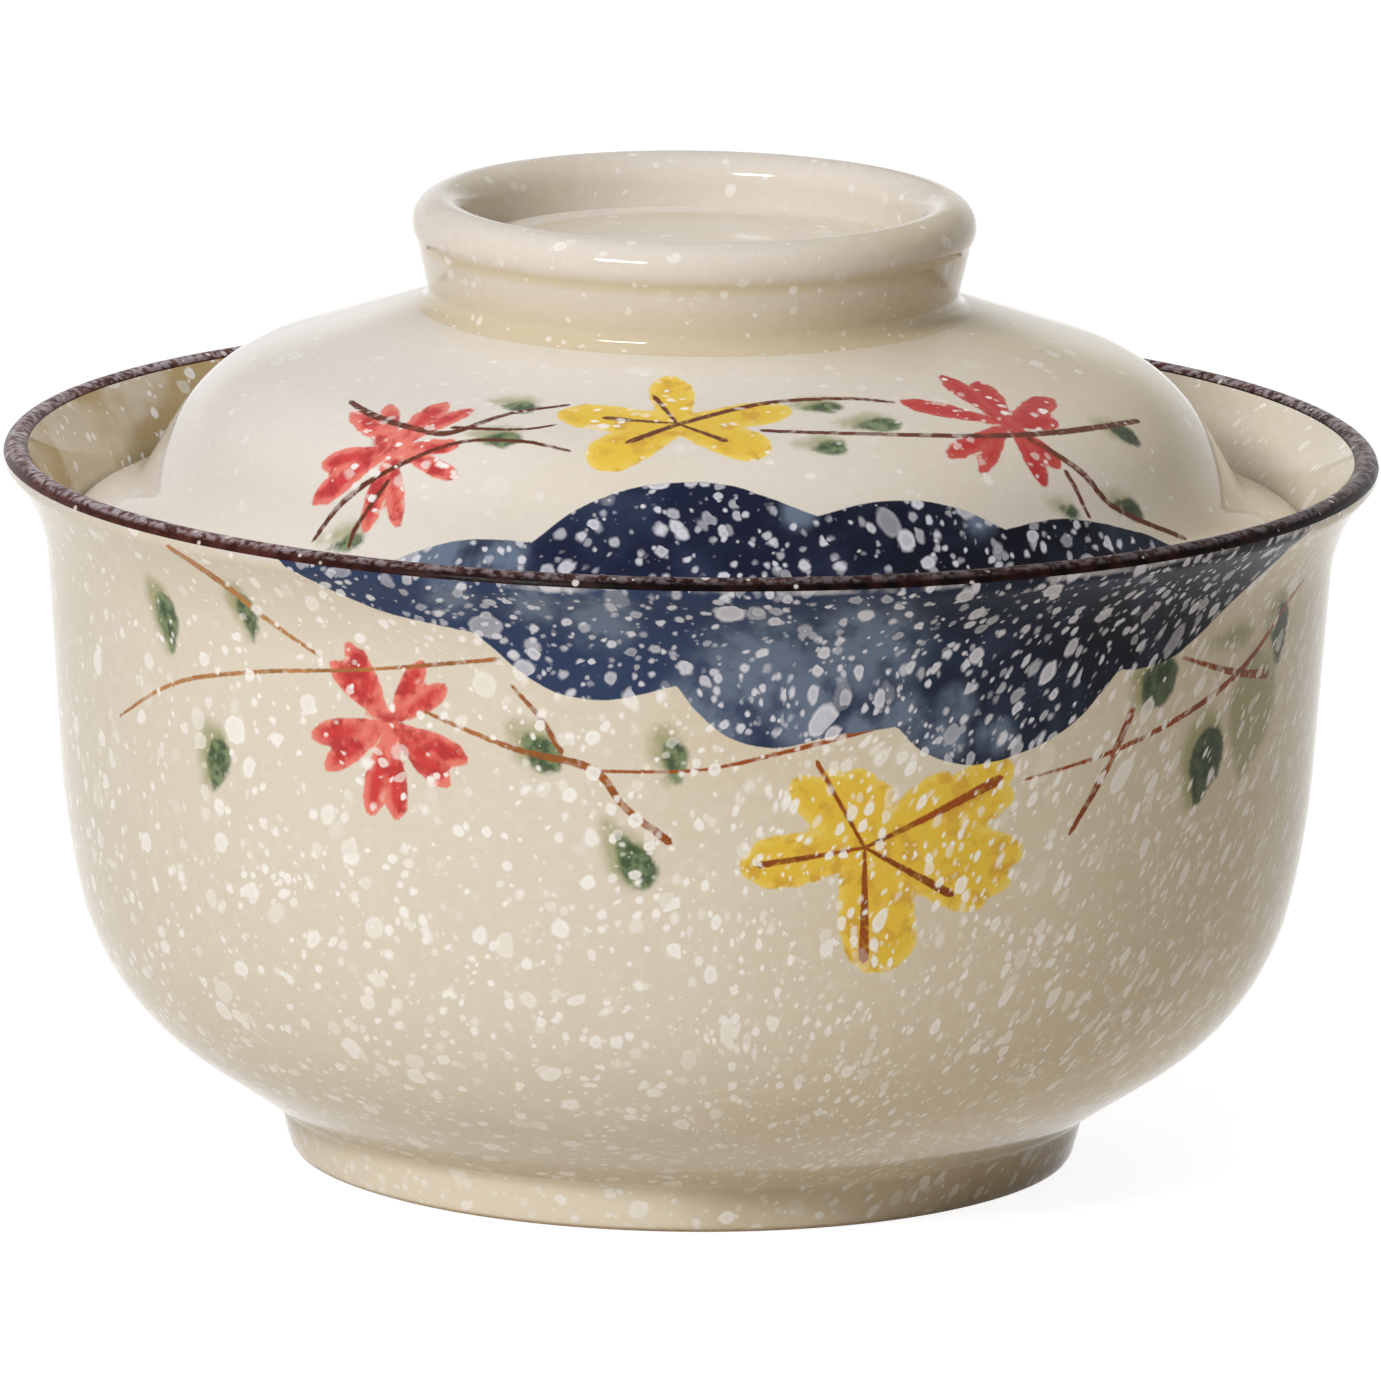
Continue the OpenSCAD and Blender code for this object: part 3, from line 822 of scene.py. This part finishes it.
def iron_coat(shine):
    """The iron-brown coat of the lip: lighter and redder on the left and darker on the right as painted
    shade, with a painted highlight and a patchy grey painted reflection along its top, flecked with white.
    """
    s = Shader(bpy.data.materials.new("iron coat"))
    space = s.add("ShaderNodeVectorMath", "SCALE", Vector=s.place, Scale=1 / MM)
    # painted highlight and reflection on the coat's top, which faces up
    top = s.math("MULTIPLY", s.ramp(s.attribute("up"), 0.5, 0.95), s.attribute("sheen_spread"))
    # painted shade: lighter and redder on the left, where the light falls, darker on the right
    lit_left = s.ramp(s.attribute("side"), -0.2, -0.8)
    rust = s.noise(RUST)
    colour = s.mix(s.ramp(rust, 0.40, 0.75), s.mix(lit_left, *COAT_DARK), s.mix(lit_left, *COAT_BROWN))
    colour = s.mix(s.math("MULTIPLY", top, s.ramp(rust, 0.35, 0.62, 0.4, 0.9)), colour, COAT_LIT_TOP)
    # patchy grey painted reflection on the top
    sheen = s.math("MULTIPLY", top, s.ramp(s.noise(SHEEN_PATCH), 0.40, 0.62, 0.0, 0.9))
    colour = s.mix(sheen, colour, COAT_SHEEN)
    specks, _ = s.spots(space.outputs["Vector"], *COAT_SPECKS)
    colour = s.mix(s.ramp(specks, -0.06, 0.10, 0.0, 0.85), colour, COAT_SPECK)
    return s.finish(colour, s.ramp(rust, 0.3, 0.7, 0.22, 0.38), s.noise(DUST), 0.2, shine)


# Pieces

BOWL_SEGMENTS = 768
LID_SEGMENTS = 720
RING_SEGMENTS = 480
PAINTED_STEP = 0.85  # between the rings of a painted face, in millimetres
PLAIN_STEP = 3.2  # of a face that is hidden or plain
CURVE_STEP = 0.6  # of the small rings
FACING = 0.02  # least part of a normal outwards or upwards on a face that looks that way

# How the flecks lean and stretch, in the terms of fleck_space, and their density
BOWL_SLANT = {"lean": (0.05, 0.85), "narrow": (1.05, 1.5), "flat": (1.0, 0.85)}
LID_SLANT = {"lean": (0.0, 0.15), "narrow": (1.0, 1.0), "flat": (0.9, 0.8)}
RING_SLANT = {"lean": (0.0, 0.0), "narrow": (1.5, 1.5), "flat": (1.5, 1.5)}
WALL_FLECKS = (0.54, 0.66, 0.6)  # at the foot, on the belly and at the lip
INNER_FLECKS = 0.18
FOOT_FLECKS = 0.65
LID_FLECKS = 0.085
RING_FLECKS = 0.09

# Heights on the bowl, as shares of the height of the lip's coat
PAINTED_FROM = 0.4
BELLY = 0.3
THINNED = (0.35, 0.75)  # where the flecks on the left begin to be fewer, and where they are fewest
BLOTCHED = (0.72, 0.84)  # where the tan blotches of the inner wall begin, and where they are full

LIP_WIDTH = 0.1  # of the lip's outer edge, which counts as wall, in millimetres
FOOT_POOL = 0.35  # how much glaze pools at the foot
WALL_REACH = 6  # how far it reaches up the wall and down the foot, in millimetres
FOOT_REACH = 3
BARE_HEIGHT = 0.3  # of the bare clay on the foot, in millimetres
WEAKEST_SHEEN = 35  # azimuth where the painted sheen along the lip's coat is weakest, in degrees
CREASE_SHARE = 0.6  # height of the crease on the lid's ring, as a share of the ring's


def even(step):
    """Spacing that is the same all over."""
    return lambda place, normal: step


def rise(value, low, high):
    """0 up to a low value, 1 from a high value on, and straight between them."""
    return np.clip((value - low) / (high - low), 0, 1)


def build_bowl(painted, plain, coat):
    """The bowl's body, foot and lip coat."""
    coat_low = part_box("rim_band")[0].z / MM
    foot_low, foot_high = (corner.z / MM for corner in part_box("foot_ring"))

    def spacing(place, normal):
        seen_wall = (normal[:, 0] > FACING) & (place[:, 1] > PAINTED_FROM * coat_low)
        return np.where(seen_wall, PAINTED_STEP, PLAIN_STEP)

    shell = Turned("glazed_bowl", "bowl_shell", "bowl", "bowl_glaze", painted, BOWL_SEGMENTS, spacing)
    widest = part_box("bowl_shell")[1].x / MM
    lip = shell.rings[:, 0] > widest - LIP_WIDTH
    outside = (shell.normal[:, 0] > FACING) & (shell.rings[:, 1] < coat_low) | lip
    wall = outside[:, None]
    inner_wall = shell.normal[:, :1] < -0.5
    height = shell.rings[:, 1:]
    right = np.sin(shell.azimuth)
    density = np.interp(height, (foot_high, BELLY * coat_low, coat_low), WALL_FLECKS)
    fewer = 0.1 + 0.5 * rise(height / coat_low, *THINNED)
    density = density * (1 + np.clip(right, -1, 0) * fewer)
    density = np.where(inner_wall, INNER_FLECKS, density)
    # tan blotches near the top of the inner wall, strongest on the left
    tan_blotch = inner_wall * rise(height / coat_low, *BLOTCHED) * np.clip(0.6 - 0.6 * right, 0, 1)
    glaze_fields(shell, density, BOWL_SLANT, tan_blotch=tan_blotch,
                 pool_and_shade=FOOT_POOL * shell.near_height(foot_high, WALL_REACH) * wall,
                 fringe=np.where(wall, height - coat_low, FAR))
    Painting(shell, outside).paint(BOWL_PAINTING, hangs=True)

    foot = Turned("glazed_foot", "foot_ring", "bowl", "bowl_glaze", plain, RING_SEGMENTS, even(CURVE_STEP))
    glaze_fields(foot, FOOT_FLECKS, BOWL_SLANT, pool_and_shade=FOOT_POOL * foot.near_height(foot_high, FOOT_REACH),
                 bare=foot.rings[:, 1:] < foot_low + BARE_HEIGHT)

    band = Turned("iron_rim", "rim_band", "bowl", "iron_coat", coat, LID_SEGMENTS, even(CURVE_STEP / 2))
    band.store("up", band.normal[:, 1:])
    band.store("side", np.sin(band.azimuth))
    # how strong the painted sheen on the coat's top is, round the lip
    band.store("sheen_spread", 1 - 0.75 * np.clip(np.cos(band.azimuth - math.radians(WEAKEST_SHEEN)), 0, 1))


def build_lid(painted, plain):
    """The lid's dome and the ring on its crown."""
    ring_low, ring_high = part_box("lid_ring")
    seat, top = ring_low.z / MM, ring_high.z / MM
    crease = seat + CREASE_SHARE * (top - seat)

    def spacing(place, normal):
        return np.where(normal[:, 1] > FACING, PAINTED_STEP, PLAIN_STEP)

    shell = Turned("glazed_lid", "lid_shell", "lid", "lid_glaze", painted, LID_SEGMENTS, spacing)
    looks_up = shell.normal[:, 1] > 0.2
    crown = looks_up & (shell.rings[:, 0] > 0.7 * ring_high.x / MM)
    floor = looks_up & ~crown
    right = np.sin(shell.azimuth)
    from_middle = shell.rings[:, :1] / shell.rings[floor, 0].max()
    # pooled glaze and painted shade on the recess floor in the ring, darker towards its wall and on the left
    recess_pool_and_shade = np.clip(2 * from_middle - 1, 0.4, 1) * floor[:, None] * np.clip(0.85 - 0.7 * right, 0.1, 0.85)
    # pooled glaze and painted shade in the crease round the ring's foot
    beside_ring = 0.3 * shell.near_height(seat, 2.5)
    # painted shade and reflection: the lid's right flank turns brown
    right_flank_shade = rise(right, 0.75, 1.0)
    glaze_fields(shell, LID_FLECKS, LID_SLANT,
                 pool_and_shade=np.maximum(recess_pool_and_shade, crown[:, None] * np.maximum(beside_ring, right_flank_shade)))
    Painting(shell, crown & (shell.rings[:, 1] < seat + 2)).paint(LID_PAINTING, hangs=False)

    ring = Turned("glazed_lid_ring", "lid_ring", "lid", "lid_glaze", plain, RING_SEGMENTS, even(CURVE_STEP))
    outer = ring.normal[:, :1] > 0
    # pooled glaze and painted shade on the ring's waist under its lip, and at its crease
    waist_pool_and_shade = np.maximum(ring.near_height(seat + 1, 6), ring.near_height(crease, 1.2))
    glaze_fields(ring, RING_FLECKS, RING_SLANT, pool_and_shade=1.4 * waist_pool_and_shade * outer)


# Stage: floor, world, lamps and camera, in metres

WHITE = (1, 1, 1, 1)
FLOOR_SPAN = 12.0
FLOOR_DROP = 0.02 * MM  # below the ground face
FLOOR_ROUGHNESS = 0.9
FLOOR_COLOUR = (0.80, 0.75, 0.665, 1)  # for the light that it throws back on the bowl
FLOOR_SEEN = (0.30, 0.30, 0.30, 1)  # for the eye, which also sees its glow
FLOOR_GLOW = 0.90  # so much that the open floor is white
WORLD_LIGHT = (0.10, 0.09, 0.076, 1)  # light from all round
WORLD_HORIZON = 1.0  # what the eye sees of the world near the horizon, and above
WORLD_ABOVE = 0.45
WORLD_FADE = (0.10, 0.30)  # heights between which the one turns into the other, on a unit sphere
LAMPS_AIM = Vector((0, 0, 0.06))
CAMERA_PLACE = Vector((0, -2.2017, 0.5121))
CAMERA_AIM = Vector((0.0003, 0, 0.0542))
CAMERA_ROLL = 0.79  # in degrees
CAMERA_LENS = 502.5  # focal length and width of the sensor, in millimetres
CAMERA_SENSOR = 36
CAMERA_REACH = 50


def seen(s):
    """1 for rays from the camera and for mirrored and transmitted ones, else 0."""
    path = s.add("ShaderNodeLightPath").outputs
    indirect = s.math("MAXIMUM", path["Is Glossy Ray"], path["Is Transmission Ray"])
    return s.math("MAXIMUM", path["Is Camera Ray"], indirect)


def build_floor():
    """A wide pale floor, which the eye sees as white with the bowl's shadow on it."""
    mesh = bpy.data.meshes.new("floor")
    half = FLOOR_SPAN / 2
    corners = [(-half, -half, 0), (half, -half, 0), (half, half, 0), (-half, half, 0)]
    mesh.from_pydata(corners, [], [(0, 1, 2, 3)])
    floor = add_object("floor", mesh)
    floor.location.z = -FLOOR_DROP
    s = Shader(bpy.data.materials.new("floor"))
    direct = seen(s)
    s.give(s.surface, {"Base Color": s.mix(direct, FLOOR_COLOUR, FLOOR_SEEN), "Roughness": FLOOR_ROUGHNESS,
                       "Specular IOR Level": 0, "Emission Color": WHITE,
                       "Emission Strength": s.math("MULTIPLY", direct, FLOOR_GLOW)})
    mesh.materials.append(s.owner)


def build_world():
    """A plain studio with dim light from all round, which shows white walls and a grey ceiling."""
    world = bpy.data.worlds.new("studio")
    bpy.context.scene.world = world
    s = Shader(world, "Background", "Generated")
    direction = s.add("ShaderNodeSeparateXYZ", Vector=s.place)
    shown = s.ramp(direction.outputs["Z"], *WORLD_FADE, WORLD_HORIZON, WORLD_ABOVE)
    s.give(s.surface, {"Color": s.mix(seen(s), WORLD_LIGHT, shown)})


def build_lamp(name, azimuth, elevation, distance, wide, high, power, mirrored=True):
    """A soft lamp that shines on the bowl from an azimuth and an elevation, and is mirrored or not."""
    light = bpy.data.lights.new(name, "AREA")
    light.shape = "RECTANGLE"
    light.size = wide
    light.size_y = high
    light.energy = power
    lamp = add_object(name, light)
    lamp.visible_glossy = mirrored
    a, e = math.radians(azimuth), math.radians(elevation)
    toward = Vector((math.sin(a) * math.cos(e), -math.cos(a) * math.cos(e), math.sin(e)))
    lamp.location = LAMPS_AIM + distance * toward
    lamp.rotation_mode = "QUATERNION"
    lamp.rotation_quaternion = (-toward).to_track_quat("-Z", "Y")


def build_camera():
    """The photo's view: from the front, a little above and far off, with the horizon leaning a little."""
    data = bpy.data.cameras.new("camera")
    data.sensor_width = CAMERA_SENSOR
    data.lens = CAMERA_LENS
    data.clip_end = CAMERA_REACH
    camera = add_object("camera", data)
    camera.location = CAMERA_PLACE
    roll = Quaternion((0, 0, 1), math.radians(CAMERA_ROLL))
    camera.rotation_mode = "QUATERNION"
    camera.rotation_quaternion = (CAMERA_AIM - CAMERA_PLACE).to_track_quat("-Z", "Y") @ roll
    bpy.context.scene.camera = camera


build_bowl(
    painted_glaze("bowl glaze", *BOWL_CREAM, twigs=BOWL_TWIGS, navy=BOWL_NAVY, cloud_flecks=0.8,
                  petal_flecks=0.5, strength=1.0, shine=0.08),
    plain_glaze("plain bowl glaze", *FOOT_CREAM, strength=1.0, shine=0.04),
    iron_coat(shine=0.05))
build_lid(
    painted_glaze("lid glaze", *LID_CREAM, twigs=LID_TWIGS, navy=LID_NAVY, cloud_flecks=0.75,
                  petal_flecks=0.3, strength=0.6, shine=0.18),
    plain_glaze("plain lid glaze", *RING_SHADED_CREAM, strength=0.7, shine=0.25))
build_floor()
build_world()
build_lamp("key", azimuth=-32, elevation=31, distance=1.8, wide=0.6, high=0.22, power=20.5)
build_lamp("top", azimuth=-20, elevation=80, distance=1.6, wide=1.6, high=1.6, power=10, mirrored=False)
build_lamp("back", azimuth=165, elevation=28, distance=1.8, wide=1.0, high=1.0, power=9, mirrored=False)
build_camera()
bpy.context.scene.view_settings.view_transform = "Standard"
